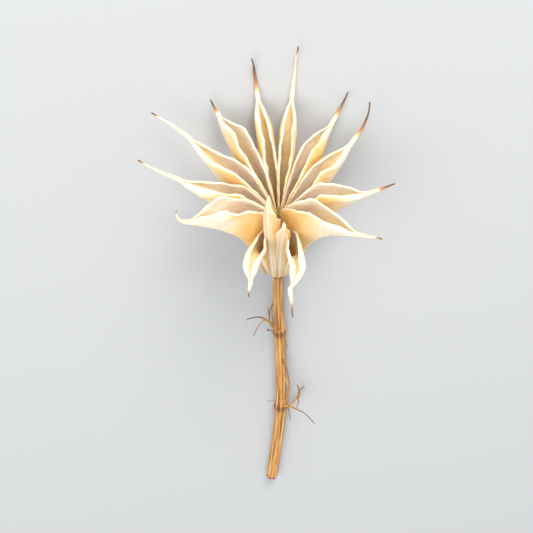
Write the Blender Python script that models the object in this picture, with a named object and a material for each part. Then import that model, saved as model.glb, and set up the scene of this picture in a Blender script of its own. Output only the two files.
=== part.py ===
"""A dried, bleached seed pod of Nigella orientalis, picked with a length of its stem, lying on its side.

The pod is a capsule of fourteen flattened follicles. They are joined round the axis in their lower
half, stand apart in their upper half, split open along the edge that faces the axis, and each ends
in a thin beak. The stem is ribbed, bends just under the pod, and carries two withered leaves of
fine threads.

Metres, +Z up. The part lies on the plane Z = 0 with its length along Y, the pod at +Y.
"""

import math
from dataclasses import dataclass

import bmesh
import bpy
from mathutils import Matrix, Vector

MM = 0.001
WELD = 0.001 * MM
FLOOR_DEPTH = 20.0 * MM
FLOOR_WIDTH = 400.0 * MM

# How the pod lies: the angle of its axis above the surface, and where the middle of its base is.
# The base's height lets the lowest beaks about 0.1 mm into the surface, where they are trimmed flat.
AXIS_RISE_DEG = 21.0
BASE_POINT = (2.04 * MM, 6.05 * MM, 4.22 * MM)

# The keel of a follicle, its outer edge: where it starts, and its angle from the pod's axis at the
# rounded shoulder, along the body and, for each follicle, at the tip.
KEEL_START_RADIUS = 1.0 * MM
SHOULDER_DEG = 78.0
SHOULDER_END = 0.14
SPREAD_START = 0.34
SPREAD_END = 1.15
SPREAD_GAIN = 1.12
KEEL_STEPS = 60
KEEL_RIDGE = 0.16 * MM
RIDGE_FULL = 0.10

# The walls of a follicle, from its keel in to the suture that faces the axis. They lean a little
# less than square to the keel, and their free part grows less deep towards the tip.
WALL_TILT_SHARE = 0.85
TILT_SQUARES = 0.85
PAST_AXIS = 0.35 * MM
TIP_DEPTH = 0.50 * MM
TAPER_START = 0.45
TAPER_SHARE = 0.22
TURN_IN_POWER = 1.7
SUTURE_BLEND = 1.2 * MM

# Half the widths across a follicle, and the shares of its length where it is broad and narrows.
KEEL_HALF_WIDTH = 0.85 * MM
BODY_HALF_WIDTH = 1.40 * MM
TIP_HALF_WIDTH = 0.38 * MM
BROAD_FROM = 0.16
NARROW_FROM = 0.86
TIP_FROM = 0.98

# The room beside a follicle: neighbours overlap near the axis and stand apart further out.
FUSED_OVERLAP = 0.13 * MM
FREE_GAP = 0.28 * MM
FUSED_RADIUS = 4.6 * MM
FREE_RADIUS = 8.0 * MM
UPRIGHT_LEAN = 20.0
UPRIGHT_ROOM_DEG = 60.0
BULGE_START = 0.30
BULGE_FULL = 0.60
GAPE_RADIUS = 2.5 * MM
GAPE_LIMIT = 3.2 * MM

# Rings of points: as shares of a follicle's length up to its corner, and of the rest past it.
BODY_RINGS = (0.0, 0.03, 0.08, 0.14, 0.25, 0.37, 0.48, 0.56, 0.62, 0.68)
CORNER_APPROACH = 0.06
RING_SPACE = 0.03
TIP_RINGS = (0.0, 0.22, 0.46, 0.72, 1.0)
WALL_LEVELS = (0.25, 0.5, 0.75, 1.0)

# The hollow that the split opens: the thickness it leaves of a free wall, and of each follicle's
# share of a wall that two have in common, and how it deepens from a slot to most of the depth.
FREE_WALL = 0.60 * MM
SHARED_WALL = 0.42 * MM
FREE_WALL_RADIUS = 6.5 * MM
CAVITY_HALF_WIDTH = 0.12 * MM
CAVITY_START = 0.53
CAVITY_END_RINGS = 2
CAVITY_DEEPENS = (0.46, 0.74)
CAVITY_SLOT_LEVEL = 0.86
CAVITY_LEVEL_LIMIT = 0.90
CAVITY_FLOOR_DEPTH = 0.75 * MM
CAVITY_LEVELS = (0.0, 0.35, 0.75)
CAVITY_PAST_RIM = 0.5 * MM

# The beak, a thin tapered spike.
BEAK_RINGS = 6
BEAK_ROOT_RADIUS = 0.40 * MM
BEAK_TIP_RADIUS = 0.31 * MM

# The receptacle, the small boss under the follicles.
RECEPTACLE_RADIUS = 1.35 * MM
RECEPTACLE_FOOT_RADIUS = 1.16 * MM
RECEPTACLE_LOW = -1.3 * MM
RECEPTACLE_HIGH = 2.6 * MM
RECEPTACLE_SIDES = 14

# The stem. It slopes down from the pod, bends and lies on the surface to its cut end. Its route is
# measured from the middle of the pod's base, and in height from where the stem lies.
STEM_GAP = 0.30 * MM
STEM_RADIUS = 0.84 * MM
STEM_TOP_RADIUS = 1.02 * MM
STEM_FOOT_RADIUS = 0.98 * MM
STEM_FLARE = 2.5 * MM
FOOT_FROM = 0.8
STEM_RIBS = 8
RIB_SHARE = 0.11
STEM_FLAT = 0.16 * MM
STEM_SPACING = 2.4 * MM
STEM_STRAIGHT = 3.0 * MM
STEM_ROUTE = (
    (0.1 * MM, -11.5 * MM, 0.30 * MM),
    (0.5 * MM, -22.0 * MM, 0.20 * MM),
    (0.7 * MM, -36.0 * MM, 0.25 * MM),
    (0.0 * MM, -46.0 * MM, 0.10 * MM),
    (-1.0 * MM, -56.0 * MM, 0.0 * MM),
)
NODE_SWELL = 0.24 * MM
NODE_LENGTH = 1.6 * MM

# The withered leaves: fine threads that spring from the stem's nodes.
THREAD_RADIUS = 0.42 * MM
THREAD_TAPER = 0.74
THREAD_POINTS = 9
THREAD_CURL_POWER = 1.5
THREAD_BEVEL_RESOLUTION = 1


@dataclass(frozen=True)
class Follicle:
    """One follicle: angles in degrees, lengths in millimetres.

    azimuth goes round the pod's axis, with 90 towards the surface that it lies on. body and lean
    are the keel's angles from the axis, along the body and at the tip. depth is that of the free
    walls, and corner the share of the length where they turn in to the beak. gape is how far the
    free tip opens, 1 where it meets its neighbours. swing bends the tip sideways. The beak bends
    towards the axis by curl and sideways by sway. bulge is how far the upper body swells past its
    neighbours' sides.
    """

    azimuth: float
    lean: float
    length: float
    gape: float
    beak: float
    curl: float
    sway: float = 0.0
    swing: float = 0.0
    corner: float = 0.80
    depth: float = 5.8
    body: float = 14.0
    bulge: float = 0.0


FOLLICLES = (
    Follicle(335, 60, 28.5, 0.90, 4.5, -15, 10, -6, corner=0.84, depth=8.2),
    Follicle(3, 58, 29.0, 0.95, 5.5, 30, -14, -3, corner=0.84, depth=6.8),
    Follicle(30, 56, 30.5, 0.86, 8.0, 52, 16, 7, corner=0.83),
    Follicle(55, 56, 31.0, 0.90, 6.0, 38, -8, corner=0.88, depth=6.2),
    Follicle(80, 44, 34.0, 0.92, 11.0, 62, -6, 2, corner=0.87, depth=6.2),
    Follicle(104, 46, 34.0, 0.80, 9.0, 70, 9, -1, corner=0.84, depth=6.0),
    Follicle(131, 58, 32.8, 0.90, 3.5, 66, 14, -4, corner=0.91, depth=6.6),
    Follicle(157, 62, 33.0, 0.95, 7.5, -12, 6, -8, corner=0.78, depth=6.6),
    Follicle(183, 60, 32.0, 0.85, 7.5, 6, -8, -7, corner=0.76, depth=6.4),
    Follicle(208, 62, 31.0, 0.95, 3.5, 82, -30, -5, corner=0.90, depth=6.6),
    Follicle(231, 80, 24.0, 0.62, 2.6, -30, 24, 20, corner=0.66, depth=5.2),
    Follicle(252, -5, 29.0, 0.70, 2.5, -14, 10, -6, corner=0.62, depth=4.6, body=8.0, bulge=0.45),
    Follicle(275, 9, 24.0, 0.65, 2.2, 12, -12, 3, corner=0.60, depth=4.4, body=9.0, bulge=0.75),
    Follicle(303, 84, 24.0, 0.50, 5.0, -24, -6, -26, corner=0.70, depth=5.0),
)


@dataclass(frozen=True)
class Thread:
    """One thread of a withered leaf: its length in millimetres, and angles in degrees.

    spread is its angle from the stem's direction, around its angle round the stem and curl how far
    it bends.
    """

    length: float
    spread: float
    around: float
    curl: float


@dataclass(frozen=True)
class Leaf:
    """A withered leaf at a node: its share of the way down the stem, and its threads."""

    share: float
    threads: tuple[Thread, ...]


UPPER_THREADS = (
    Thread(9, 150, 20, 80),
    Thread(12, 160, 48, -55),
    Thread(7, 130, 70, 60),
    Thread(10, 145, 100, -85),
)
LOWER_THREADS = (
    Thread(14, 152, 150, 70),
    Thread(11, 132, 128, -60),
    Thread(8, 118, 172, 95),
    Thread(12, 148, 100, -75),
)
LEAVES = (Leaf(0.30, UPPER_THREADS), Leaf(0.64, LOWER_THREADS))


def smooth_step(low, high, x):
    """0 at or below low, 1 at or above high, and a smooth climb between them."""
    t = min(1.0, max(0.0, (x - low) / (high - low)))
    return t * t * (3.0 - 2.0 * t)


def mix(a, b, share):
    """The value a given share of the way from a to b."""
    return a + (b - a) * share


def smooth_min(a, b, blend):
    """The lesser of a and b, rounded over where they cross."""
    h = max(0.0, 1.0 - abs(a - b) / blend)
    return min(a, b) - h * h * blend / 4.0


def keel_angles(follicle, s):
    """The keel's angle from the axis at share s of its length, with and without the shoulder."""
    spread = SPREAD_GAIN * smooth_step(SPREAD_START, SPREAD_END, s)
    spread = mix(follicle.body, follicle.lean, spread)
    shoulder = (SHOULDER_DEG - follicle.body) * max(0.0, 1.0 - s / SHOULDER_END) ** 2
    return math.radians(spread + shoulder), math.radians(spread)


def keel_at(follicle, s):
    """Radius and height of the keel at share s, by summing short steps along it."""
    steps = max(1, math.ceil(s * KEEL_STEPS))
    step = s / steps
    radius, height = KEEL_START_RADIUS, 0.0
    for i in range(steps):
        angle, _ = keel_angles(follicle, (i + 0.5) * step)
        radius += math.sin(angle) * step * follicle.length * MM
        height += math.cos(angle) * step * follicle.length * MM
    return radius, height


def wall_tilt(follicle, s):
    """The walls' angle at share s, which comes square to the keel at the tip."""
    return keel_angles(follicle, s)[1] * mix(WALL_TILT_SHARE, 1.0, smooth_step(TILT_SQUARES, 1.0, s))


def wall_depth(follicle, s, radius, tilt):
    """How far the walls reach in from the keel: to the axis low down, then to a free edge.

    Past the corner that edge turns in to the beak in a hollow curve.
    """
    to_axis = (max(0.0, radius) + PAST_AXIS) / math.cos(tilt)
    past = max(0.0, (s - follicle.corner) / (1.0 - follicle.corner))
    body = follicle.depth * MM * (1.0 - TAPER_SHARE * smooth_step(TAPER_START, 1.0, s))
    free = mix(TIP_DEPTH, body, (1.0 - past) ** TURN_IN_POWER)
    return smooth_min(to_axis, free, SUTURE_BLEND)


def azimuth_at(follicle, s):
    """The follicle's direction round the axis at share s, which swings sideways near the tip."""
    return follicle.azimuth + follicle.swing * s**3


def room_beside(follicle, side, radius, s):
    """Half the width that the follicle may fill on one side, at a radius from the axis.

    Low down it reaches just past the plane that it shares with its neighbour, so that the two
    join. Further out it stops short of that plane, unless the neighbour stands upright.
    """
    here = FOLLICLES.index(follicle)
    other = FOLLICLES[(here + side) % len(FOLLICLES)]
    between = (azimuth_at(other, s) - azimuth_at(follicle, s)) * side % 360.0
    free = smooth_step(FUSED_RADIUS, FREE_RADIUS, radius)
    if other.lean < UPRIGHT_LEAN <= follicle.lean:
        between = mix(between, UPRIGHT_ROOM_DEG, free)
    room = max(0.0, radius) * math.tan(math.radians(between / 2)) + mix(FUSED_OVERLAP, -FREE_GAP, free)
    return room + follicle.bulge * MM * smooth_step(BULGE_START, BULGE_FULL, s)


def half_width(follicle, side, level, s, radius, suture_radius):
    """The wall's distance from the follicle's own middle plane, at a level from keel to suture."""
    ends = smooth_step(0.0, BROAD_FROM, s) * (1.0 - smooth_step(NARROW_FROM, 1.0, s))
    keel = mix(TIP_HALF_WIDTH, KEEL_HALF_WIDTH, ends)
    room = room_beside(follicle, side, suture_radius, s)
    opened = mix(1.0, follicle.gape, smooth_step(GAPE_RADIUS, FREE_RADIUS, suture_radius))
    opened_width = min(room * opened, GAPE_LIMIT * follicle.gape)
    turned_in = smooth_step(follicle.corner - CORNER_APPROACH, TIP_FROM, s)
    suture = mix(opened_width, TIP_HALF_WIDTH, turned_in)
    middle = max(mix(TIP_HALF_WIDTH, BODY_HALF_WIDTH, ends), (keel + suture) / 2)
    pull = 2.0 * middle - (keel + suture) / 2
    free = (1 - level) ** 2 * keel + 2 * level * (1 - level) * pull + level**2 * suture
    return min(free, room_beside(follicle, side, radius, s))


def wall_point(follicle, side, level, s, inset=0.0):
    """A point of the wall in the pod's frame, moved in from the wall's outer face by inset."""
    radius, height = keel_at(follicle, s)
    tilt = wall_tilt(follicle, s)
    depth = wall_depth(follicle, s, radius, tilt)
    out = radius - depth * level * math.cos(tilt)
    up = height + depth * level * math.sin(tilt)
    across = half_width(follicle, side, min(level, 1.0), s, out, radius - depth * math.cos(tilt))
    across = max(CAVITY_HALF_WIDTH, across - inset) if inset else across
    return placed(follicle, out, side * across, up, s)


def placed(follicle, out, across, up, s):
    """The point that lies out from the axis along the follicle, across it and up the axis."""
    azimuth = math.radians(azimuth_at(follicle, s))
    along, beside = math.cos(azimuth), math.sin(azimuth)
    return Vector((out * along - across * beside, out * beside + across * along, up))


def ring_shares(follicle):
    """Shares of the length where the follicle has a ring, close together past its corner."""
    approach = follicle.corner - CORNER_APPROACH
    body = [s for s in BODY_RINGS if s < approach - RING_SPACE]
    return [*body, approach, *(mix(follicle.corner, 1.0, t) for t in TIP_RINGS)]


def follicle_ring(follicle, s):
    """The closed outline of a follicle at share s: keel, one wall, the suture and the other wall."""
    radius, height = keel_at(follicle, s)
    angle, _ = keel_angles(follicle, s)
    ridge = KEEL_RIDGE * smooth_step(0.0, RIDGE_FULL, s)
    keel = placed(follicle, radius + ridge * math.cos(angle), 0.0, height - ridge * math.sin(angle), s)
    one = [wall_point(follicle, 1, level, s) for level in (0.0, *WALL_LEVELS)]
    other = [wall_point(follicle, -1, level, s) for level in (0.0, *WALL_LEVELS)]
    return [keel, *one, *reversed(other)]


def beak_rings(follicle):
    """Round sections along the beak, which goes on from the keel's tip and curls."""
    radius, height = keel_at(follicle, 1.0)
    tilt = keel_angles(follicle, 1.0)[1]
    inward = placed(follicle, -math.cos(tilt), 0.0, math.sin(tilt), 1.0)
    middle = placed(follicle, radius, 0.0, height, 1.0) + inward * TIP_DEPTH / 2
    sides = len(follicle_ring(follicle, 1.0))
    turns = [2.0 * math.pi * k / sides for k in range(sides)]
    rings = []
    for i in range(1, BEAK_RINGS + 1):
        bend = (i - 0.5) / BEAK_RINGS
        lean = tilt - math.radians(follicle.curl) * bend
        sway = math.radians(follicle.sway) * bend
        flat = math.cos(sway)
        along = placed(follicle, math.sin(lean) * flat, math.sin(sway), math.cos(lean) * flat, 1.0)
        across = placed(follicle, 0.0, 1.0, 0.0, 1.0)
        across = (across - along * across.dot(along)).normalized()
        outward = across.cross(along).normalized()
        middle = middle + along * follicle.beak * MM / BEAK_RINGS
        size = mix(BEAK_ROOT_RADIUS, BEAK_TIP_RADIUS, i / BEAK_RINGS)
        rings.append([middle + outward * size * math.cos(t) + across * size * math.sin(t) for t in turns])
    return rings


def cavity_ring(follicle, s):
    """A section of the hollow that the split suture opens, from near the keel out past the rim."""
    radius, _ = keel_at(follicle, s)
    tilt = wall_tilt(follicle, s)
    depth = wall_depth(follicle, s, radius, tilt)
    deepest = min(CAVITY_LEVEL_LIMIT, CAVITY_FLOOR_DEPTH / depth)
    low = mix(CAVITY_SLOT_LEVEL, deepest, smooth_step(*CAVITY_DEEPENS, s))
    levels = [*(mix(low, 1.0, t) for t in CAVITY_LEVELS), 1.0 + CAVITY_PAST_RIM / depth]
    sides = []
    for side in (1, -1):
        wall = []
        for level in levels:
            out = radius - depth * level * math.cos(tilt)
            free = smooth_step(FUSED_RADIUS, FREE_WALL_RADIUS, out)
            wall.append(wall_point(follicle, side, level, s, mix(SHARED_WALL, FREE_WALL, free)))
        sides.append(wall)
    return [*sides[0], *reversed(sides[1])]


def loft(name, rings, collection):
    """A closed solid through rings with the same number of points, capped at both ends."""
    mesh = bmesh.new()
    loops = [[mesh.verts.new(point) for point in ring] for ring in rings]
    for low, high in zip(loops, loops[1:]):
        for i in range(len(low)):
            k = (i + 1) % len(low)
            mesh.faces.new((low[i], low[k], high[k], high[i]))
    mesh.faces.new(loops[0])
    mesh.faces.new(loops[-1])
    bmesh.ops.triangulate(mesh, faces=mesh.faces[:])
    bmesh.ops.recalc_face_normals(mesh, faces=mesh.faces[:])
    return linked(name, mesh_data(name, mesh), collection)


def mesh_data(name, mesh):
    """A mesh's data made from a bmesh, which is freed."""
    data = bpy.data.meshes.new(name)
    mesh.to_mesh(data)
    mesh.free()
    return data


def linked(name, data, collection):
    """An object that shows this mesh or curve, in this collection."""
    made = bpy.data.objects.new(name, data)
    collection.objects.link(made)
    return made


def finish(name, colour, roughness):
    """A plain dielectric finish of the given colour and roughness."""
    material = bpy.data.materials.new(name)
    material.use_nodes = True
    shader = material.node_tree.nodes["Principled BSDF"]
    shader.inputs["Base Color"].default_value = (*colour, 1.0)
    shader.inputs["Roughness"].default_value = roughness
    shader.inputs["Metallic"].default_value = 0.0
    return material


def helper_collection(name):
    """A collection for shapes that a Boolean uses, left out of the render."""
    made = bpy.data.collections.new(name)
    bpy.context.scene.collection.children.link(made)
    made.hide_render = True
    return made


def dress(target, material):
    """Gives the object this one material."""
    target.data.materials.clear()
    target.data.materials.append(material)


def apply_boolean(target, operation, collection):
    """Joins to the target, or cuts from it, everything in the collection, and then removes that."""
    modifier = target.modifiers.new(operation.title(), "BOOLEAN")
    modifier.operation = operation
    modifier.operand_type = "COLLECTION"
    modifier.collection = collection
    modifier.solver = "EXACT"
    baked = bpy.data.meshes.new_from_object(target.evaluated_get(bpy.context.evaluated_depsgraph_get()))
    target.modifiers.remove(modifier)
    target.data = baked
    for used in list(collection.objects):
        bpy.data.objects.remove(used)
    bpy.data.collections.remove(collection)


def receptacle(collection):
    """The boss on the pod's axis that the follicles stand on, narrower at its foot."""
    mesh = bmesh.new()
    bmesh.ops.create_cone(
        mesh,
        cap_ends=True,
        segments=RECEPTACLE_SIDES,
        radius1=RECEPTACLE_FOOT_RADIUS,
        radius2=RECEPTACLE_RADIUS,
        depth=RECEPTACLE_HIGH - RECEPTACLE_LOW,
        matrix=Matrix.Translation((0.0, 0.0, (RECEPTACLE_LOW + RECEPTACLE_HIGH) / 2)),
    )
    return linked("capsule", mesh_data("capsule", mesh), collection)


def trim_at_floor(target):
    """Cuts off what reaches below the surface that the part lies on."""
    cutters = helper_collection("floor_cutters")
    mesh = bmesh.new()
    bmesh.ops.create_cube(mesh, size=1.0)
    size = Matrix.Diagonal((FLOOR_WIDTH, FLOOR_WIDTH, FLOOR_DEPTH, 1.0))
    place = Matrix.Translation((0.0, 0.0, -FLOOR_DEPTH / 2))
    bmesh.ops.transform(mesh, matrix=place @ size, verts=mesh.verts)
    linked("floor", mesh_data("floor", mesh), cutters)
    apply_boolean(target, "DIFFERENCE", cutters)


def build_capsule(placing, collection, material):
    """The pod: its follicles with their beaks on the receptacle, as one solid."""
    joined = helper_collection("capsule_follicles")
    hollows = helper_collection("capsule_hollows")
    for i, follicle in enumerate(FOLLICLES):
        shares = ring_shares(follicle)
        rings = [follicle_ring(follicle, s) for s in shares] + beak_rings(follicle)
        loft(f"follicle_{i + 1:02d}", rings, joined)
        split = [s for s in shares[:-CAVITY_END_RINGS] if s >= CAVITY_START]
        loft(f"hollow_{i + 1:02d}", [cavity_ring(follicle, s) for s in split], hollows)
    capsule = receptacle(collection)
    apply_boolean(capsule, "UNION", joined)
    apply_boolean(capsule, "DIFFERENCE", hollows)
    capsule.data.transform(placing)
    trim_at_floor(capsule)
    dress(capsule, material)


def lying_pod():
    """The placing of the pod: tipped onto its side, with its lowest beaks on the surface."""
    return Matrix.Translation(BASE_POINT) @ Matrix.Rotation(math.radians(AXIS_RISE_DEG - 90.0), 4, "X")


def stem_path(placing):
    """Points down the middle of the stem, from the pod to the cut end."""
    top = placing @ Vector((0.0, 0.0, RECEPTACLE_LOW - STEM_GAP))
    down = (placing.to_3x3() @ Vector((0.0, 0.0, -1.0))).normalized()
    lying = STEM_FOOT_RADIUS * (1.0 + RIB_SHARE) - STEM_FLAT
    route = [Vector((BASE_POINT[0] + x, BASE_POINT[1] + y, lying + z)) for x, y, z in STEM_ROUTE]
    return smooth_path([top, top + down * STEM_STRAIGHT, *route], STEM_SPACING)


def smooth_path(knots, spacing):
    """A Catmull-Rom curve through the knots, with points about this far apart."""
    ends = [knots[0] * 2 - knots[1], *knots, knots[-1] * 2 - knots[-2]]
    points = [knots[0]]
    for a, b, c, d in zip(ends, ends[1:], ends[2:], ends[3:]):
        steps = max(1, round((c - b).length / spacing))
        for i in range(1, steps + 1):
            t = i / steps
            bend = (2 * a - 5 * b + 4 * c - d) * t**2 + (3 * b - a - 3 * c + d) * t**3
            points.append(0.5 * (2 * b + (c - a) * t + bend))
    return points


def lengths_along(points):
    """How far along the path each point lies."""
    found = [0.0]
    for before, after in zip(points, points[1:]):
        found.append(found[-1] + (after - before).length)
    return found


def stem_radius(distance, total):
    """The stem's radius at a distance from the pod: flared at the pod, swollen at each node."""
    radius = mix(STEM_RADIUS, STEM_FOOT_RADIUS, smooth_step(0.0, FOOT_FROM * total, distance))
    radius = mix(STEM_TOP_RADIUS, radius, smooth_step(0.0, STEM_FLARE, distance))
    for leaf in LEAVES:
        radius += NODE_SWELL * math.exp(-(((distance - leaf.share * total) / NODE_LENGTH) ** 2))
    return radius


def poly_curve(name, points, radii, closed=False):
    """A curve's data with one straight-edged spline through the points."""
    curve = bpy.data.curves.new(name, "CURVE")
    curve.dimensions = "3D"
    curve.twist_mode = "Z_UP"
    spline = curve.splines.new("POLY")
    spline.points.add(len(points) - 1)
    for control, point, radius in zip(spline.points, points, radii):
        control.co = (*point, 1.0)
        control.radius = radius
    spline.use_cyclic_u = closed
    return curve


def rib_profile(collection):
    """The stem's section: a closed outline with a rib at every other point."""
    sides = 2 * STEM_RIBS
    outline = []
    for k in range(sides):
        turn = 2.0 * math.pi * k / sides
        size = STEM_RADIUS * (1.0 + (-RIB_SHARE if k % 2 else RIB_SHARE))
        outline.append((size * math.cos(turn), size * math.sin(turn), 0.0))
    curve = poly_curve("rib_profile", outline, [1.0] * sides, closed=True)
    curve.dimensions = "2D"
    return linked("rib_profile", curve, collection)


def solid_from_curve(name, curve, collection):
    """The curve's tube as a closed mesh object. The curve itself is removed."""
    source = linked(name + "_curve", curve, collection)
    bpy.context.view_layer.update()
    data = bpy.data.meshes.new_from_object(source.evaluated_get(bpy.context.evaluated_depsgraph_get()))
    bpy.data.objects.remove(source)
    mesh = bmesh.new()
    mesh.from_mesh(data)
    bmesh.ops.remove_doubles(mesh, verts=mesh.verts, dist=WELD)
    bmesh.ops.triangulate(mesh, faces=mesh.faces[:])
    bmesh.ops.recalc_face_normals(mesh, faces=mesh.faces[:])
    bpy.data.meshes.remove(data)
    return linked(name, mesh_data(name, mesh), collection)


def thread_curve(name, root, along, thread):
    """One thread of a withered leaf, which starts inside the stem and curls as it goes."""
    level = along.cross(Vector((0.0, 0.0, 1.0))).normalized()
    up = level.cross(along).normalized()
    around = math.radians(thread.around)
    side = level * math.cos(around) + up * math.sin(around)
    points = [root.copy()]
    shares = [i / (THREAD_POINTS - 1) for i in range(THREAD_POINTS)]
    for share in shares[1:]:
        angle = math.radians(thread.spread + thread.curl * share**THREAD_CURL_POWER)
        heading = along * math.cos(angle) + side * math.sin(angle)
        point = points[-1] + heading * thread.length * MM / (THREAD_POINTS - 1)
        point.z = max(point.z, THREAD_RADIUS + STEM_FLAT)
        points.append(point)
    curve = poly_curve(name, points, [mix(1.0, THREAD_TAPER, share) for share in shares])
    curve.bevel_depth = THREAD_RADIUS
    curve.bevel_resolution = THREAD_BEVEL_RESOLUTION
    curve.use_fill_caps = True
    return curve


def build_stem(placing, collection, material):
    """The stem with its two withered leaves, as one solid, trimmed flat where it lies."""
    points = stem_path(placing)
    distances = lengths_along(points)
    total = distances[-1]
    guides = helper_collection("stem_guides")
    profile = rib_profile(guides)
    curve = poly_curve("stem", points, [stem_radius(d, total) / STEM_RADIUS for d in distances])
    curve.bevel_mode = "OBJECT"
    curve.bevel_object = profile
    curve.use_fill_caps = True
    stem = solid_from_curve("stem", curve, collection)
    bpy.data.objects.remove(profile)
    bpy.data.collections.remove(guides)
    joined = helper_collection("leaf_threads")
    for n, leaf in enumerate(LEAVES):
        at = min(range(len(points)), key=lambda i: abs(distances[i] - leaf.share * total))
        along = (points[at + 1] - points[at - 1]).normalized()
        for k, thread in enumerate(leaf.threads):
            name = f"thread_{n + 1}_{k + 1}"
            solid_from_curve(name, thread_curve(name, points[at], along, thread), joined)
    apply_boolean(stem, "UNION", joined)
    trim_at_floor(stem)
    dress(stem, material)


def main():
    """Builds the pod and its stem in a collection of their own."""
    for old in list(bpy.data.objects):
        bpy.data.objects.remove(old)
    collection = bpy.data.collections.new("nigella_seed_pod")
    bpy.context.scene.collection.children.link(collection)
    papery = finish("bleached_papery_wall", (0.89, 0.78, 0.58), 0.6)
    straw = finish("dry_straw_stem", (0.62, 0.39, 0.16), 0.55)
    placing = lying_pod()
    build_capsule(placing, collection, papery)
    build_stem(placing, collection, straw)


main()
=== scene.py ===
"""Looks of a dried, bleached seed pod of Nigella orientalis, lying on its side on a pale floor.

The pod is fourteen papery follicles, each a thin boat-shaped wall that is split along the edge
facing the pod's axis and drawn out into a brown beak. They sit on a small receptacle at the top of
a ribbed straw-coloured stem, which carries two withered leaves of fine threads.

Every sub-assembly is a class that holds its sizes, builds its meshes and dresses them. All lengths
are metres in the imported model's frame, and each mesh carries its own place.
"""

from __future__ import annotations

import logging
import math
from collections.abc import Callable, Iterator, Sequence
from dataclasses import dataclass, field
from enum import Enum, auto

import bmesh
import bpy
from bpy.types import ID, Material, NodeSocket, NodeTree, Object, ShaderNode
from mathutils import Matrix, Vector, noise

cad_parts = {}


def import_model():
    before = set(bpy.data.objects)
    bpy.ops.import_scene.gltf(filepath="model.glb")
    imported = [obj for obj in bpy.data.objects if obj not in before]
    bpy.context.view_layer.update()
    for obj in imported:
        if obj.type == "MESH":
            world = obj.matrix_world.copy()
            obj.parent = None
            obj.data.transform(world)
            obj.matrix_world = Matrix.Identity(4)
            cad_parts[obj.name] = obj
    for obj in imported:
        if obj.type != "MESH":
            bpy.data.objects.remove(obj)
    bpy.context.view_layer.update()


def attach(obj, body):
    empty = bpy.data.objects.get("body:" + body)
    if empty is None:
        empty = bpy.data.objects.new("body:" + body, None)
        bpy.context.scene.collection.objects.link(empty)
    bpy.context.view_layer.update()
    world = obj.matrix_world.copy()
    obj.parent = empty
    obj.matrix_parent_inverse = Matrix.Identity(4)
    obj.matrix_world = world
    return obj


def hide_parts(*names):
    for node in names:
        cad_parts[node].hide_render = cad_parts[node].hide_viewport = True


MM = 0.001
BODY = "root"
UNROLLED = "unrolled_mm"
WELD = 0.0005 * MM
UP = Vector((0.0, 0.0, 1.0))

log = logging.getLogger("nigella_pod")

Rgba = tuple[float, float, float, float]


class Node(Enum):
    """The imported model's nodes that the pieces here stand for."""

    CAPSULE = "capsule"
    STEM = "stem"


class Slot(Enum):
    """The record's material slots."""

    PAPERY_WALL = "papery_wall"
    DRY_STEM = "dry_stem"


class Zone(Enum):
    """The parts of a follicle's section, met in turn round its outline."""

    FLOOR = auto()
    INNER_WALL = auto()
    RIM = auto()
    OUTER_WALL = auto()
    KEEL = auto()


# A place on a section's outline: its zone, its side (-1 or 1) and how far across the zone it is.
Station = tuple[Zone, int, float]


def linear(hex_colour: str) -> Rgba:
    """Turns an sRGB hex colour to the linear values that shaders take.

    Args:
        hex_colour: a colour such as "#F3D8A0".

    Returns:
        Linear red, green and blue, and an alpha of 1.
    """
    channels = [int(hex_colour[i : i + 2], 16) / 255.0 for i in (1, 3, 5)]
    return (*(c / 12.92 if c <= 0.04045 else ((c + 0.055) / 1.055) ** 2.4 for c in channels), 1.0)


def mix(a: float, b: float, share: float) -> float:
    """The value a given share of the way from a to b."""
    return a + (b - a) * share


def smooth_step(low: float, high: float, x: float) -> float:
    """0 at or below low, 1 at or above high, and a smooth climb between them."""
    t = min(1.0, max(0.0, (x - low) / (high - low)))
    return t * t * (3.0 - 2.0 * t)


def smooth_min(a: float, b: float, blend: float) -> float:
    """The lesser of a and b, rounded over where they cross."""
    h = max(0.0, 1.0 - abs(a - b) / blend)
    return min(a, b) - h * h * blend / 4.0


def bump_at(x: float, centre: float, width: float) -> float:
    """A bell-shaped bump of height 1 at a centre, with the given width."""
    return math.exp(-(((x - centre) / width) ** 2))


def wander(seed: float, x: float, y: float = 0.0) -> float:
    """Smooth seeded noise between about -1 and 1, the same on each run."""
    return noise.noise(Vector((x, y, seed * 7.31 + 0.5)))


def square_to(along: Vector) -> tuple[Vector, Vector]:
    """The level direction square to a given one, and the upward one square to both."""
    level = along.cross(UP).normalized()
    return level, level.cross(along).normalized()


def add_object(name: str, data: ID) -> Object:
    """Makes an object of some data at the origin, and links it to the scene."""
    made = bpy.data.objects.new(name, data)
    bpy.context.scene.collection.objects.link(made)
    return made


def set_up(
    tree: NodeTree,
    node: ShaderNode,
    settings: dict[str | int, object],
    links: dict[str | int, NodeSocket],
) -> None:
    """Gives a node its settings and its links.

    Args:
        tree: the node tree that holds the node.
        node: the node.
        settings: property names, or input names or numbers, and their values. On a colour ramp,
            "stops" gives its places from 0 to 1, each with its sRGB hex colour.
        links: input names or numbers, and the output sockets that feed them.
    """
    for name, value in settings.items():
        if name == "stops":
            elements = node.color_ramp.elements
            while len(elements) < len(value):
                elements.new(0.5)
            for element, (place, hex_colour) in zip(elements, value):
                element.position, element.color = place, linear(hex_colour)
        elif isinstance(name, str) and hasattr(node, name):
            setattr(node, name, value)
        else:
            node.inputs[name].default_value = value
    for name, socket in links.items():
        tree.links.new(socket, node.inputs[name])


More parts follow.
